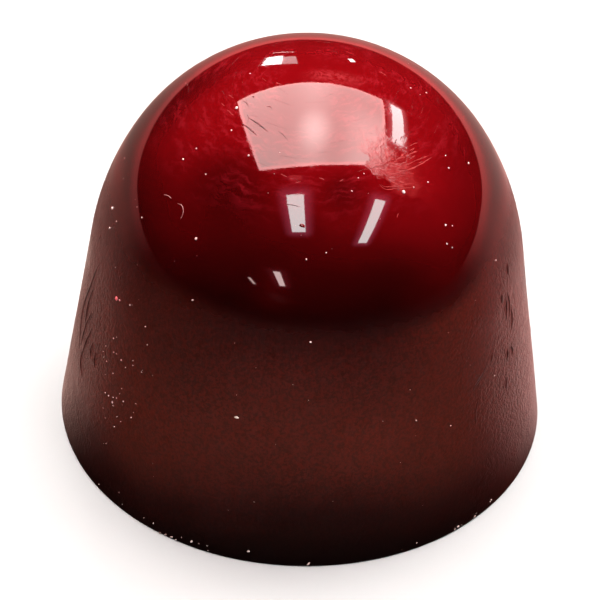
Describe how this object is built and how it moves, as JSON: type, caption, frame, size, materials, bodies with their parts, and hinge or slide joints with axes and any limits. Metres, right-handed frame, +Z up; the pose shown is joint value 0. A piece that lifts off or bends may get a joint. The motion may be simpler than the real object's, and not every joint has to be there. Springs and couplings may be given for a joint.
{
  "type": "chocolate praline",
  "caption": "Moulded chocolate praline: a tall dome with a glossy red crown, a satin wall that flares outward and a flat base.",
  "frame": {"origin": "centre of the flat base", "axes": "+Z up along the axis of the dome, from the base to the crown"},
  "size_m": [0.029, 0.029, 0.0239],
  "materials": {
    "cocoa_shell": "glossy red cocoa butter over dark chocolate, satin on the wall"
  },
  "bodies": {
    "root": {"praline": "cocoa_shell"}
  },
  "joints": []
}
